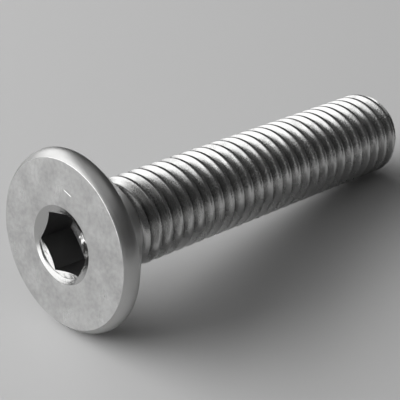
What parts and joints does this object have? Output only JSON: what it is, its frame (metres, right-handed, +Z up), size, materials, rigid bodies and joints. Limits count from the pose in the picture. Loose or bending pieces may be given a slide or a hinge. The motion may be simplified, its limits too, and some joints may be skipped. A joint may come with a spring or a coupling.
{
  "type": "countersunk socket screw",
  "caption": "Flat countersunk screw with a hexagon socket and a threaded shank, lying as it comes to rest.",
  "frame": {"origin": "middle of the lying screw's box, on the surface it rests on", "axes": "+X along the lying screw from its head to its point, +Z up"},
  "size_m": [0.0408, 0.0158, 0.0158],
  "materials": {
    "steel": "plain stainless steel, satin, with fine scratches"
  },
  "bodies": {
    "root": {"screw": "steel"}
  },
  "joints": []
}
